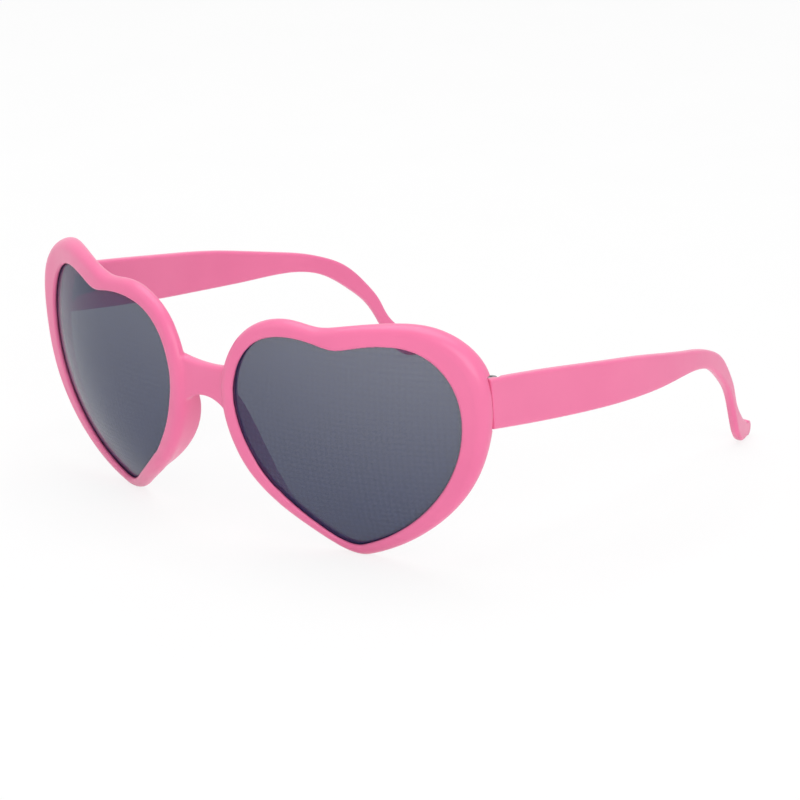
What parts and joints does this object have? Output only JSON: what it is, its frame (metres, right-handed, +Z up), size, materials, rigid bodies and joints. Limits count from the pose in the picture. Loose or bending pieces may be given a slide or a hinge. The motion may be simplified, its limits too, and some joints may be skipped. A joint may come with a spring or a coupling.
{
  "type": "heart-shaped sunglasses",
  "caption": "Sunglasses with a moulded heart-shaped front, tinted lenses and hooked side arms that fold in on small metal hinges.",
  "frame": {"origin": "on the table, under the middle of the open glasses' overall box", "axes": "+Z up, the front faces -Y, the side arms run back along +Y, +X is the wearer's left, X = 0 is the plane of symmetry"},
  "size_m": [0.1414, 0.144, 0.0593],
  "materials": {
    "pink": "satin-gloss moulded",
    "tint": "smooth tinted, see-through",
    "metal": "plain"
  },
  "bodies": {
    "front": {"front_frame": "pink", "lens_left": "tint", "lens_right": "tint", "hinge_front_leaf_left": "metal", "hinge_front_leaf_right": "metal", "hinge_screw_left": "metal", "hinge_screw_right": "metal"},
    "arm_left": {"temple_left": "pink", "hinge_temple_leaf_left": "metal"},
    "arm_right": {"temple_right": "pink", "hinge_temple_leaf_right": "metal"}
  },
  "joints": [
    {"name": "fold_left", "type": "hinge", "parent": "front", "child": "arm_left", "pos_m": [0.06753, -0.04713, 0.04168], "axis": [0, 0, 1], "range_deg": [0, 82]},
    {"name": "fold_right", "type": "hinge", "parent": "front", "child": "arm_right", "pos_m": [-0.06753, -0.04713, 0.04168], "axis": [0, 0, -1], "range_deg": [0, 74]}
  ]
}
